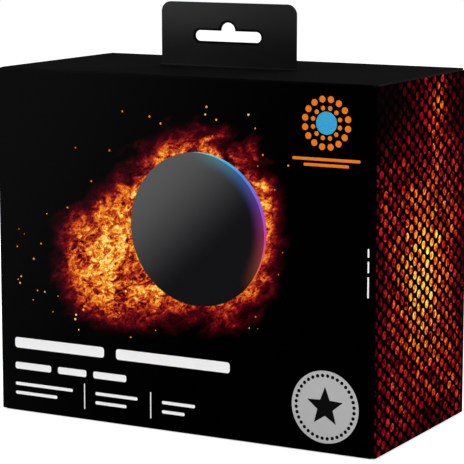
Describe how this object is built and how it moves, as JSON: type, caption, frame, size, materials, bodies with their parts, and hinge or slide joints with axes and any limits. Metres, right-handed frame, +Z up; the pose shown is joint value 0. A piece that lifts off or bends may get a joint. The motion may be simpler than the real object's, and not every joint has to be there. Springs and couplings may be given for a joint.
{
  "type": "hang tab carton",
  "caption": "Rectangular folding carton of printed card with a slotted hang tab on its top and a hinged tuck flap at each end.",
  "frame": {"origin": "under the middle of the base, on the surface the carton stands on", "axes": "+X across the front to the right, +Y from the front to the back, +Z up"},
  "size_m": [0.18, 0.09, 0.1775],
  "materials": {
    "black_card": "satin",
    "mesh_card": "satin"
  },
  "bodies": {
    "carton": {"carton": "black_card"},
    "right_end_flap": {"right_end_flap": "mesh_card"},
    "left_end_flap": {"left_end_flap": "black_card"}
  },
  "joints": [
    {"name": "right_flap_crease", "type": "hinge", "parent": "carton", "child": "right_end_flap", "pos_m": [0.09, -0.0438, 0.075], "axis": [0, 0, -1], "range_deg": [0, 135]},
    {"name": "left_flap_crease", "type": "hinge", "parent": "carton", "child": "left_end_flap", "pos_m": [-0.09, -0.0438, 0.075], "axis": [0, 0, 1], "range_deg": [0, 135]}
  ]
}
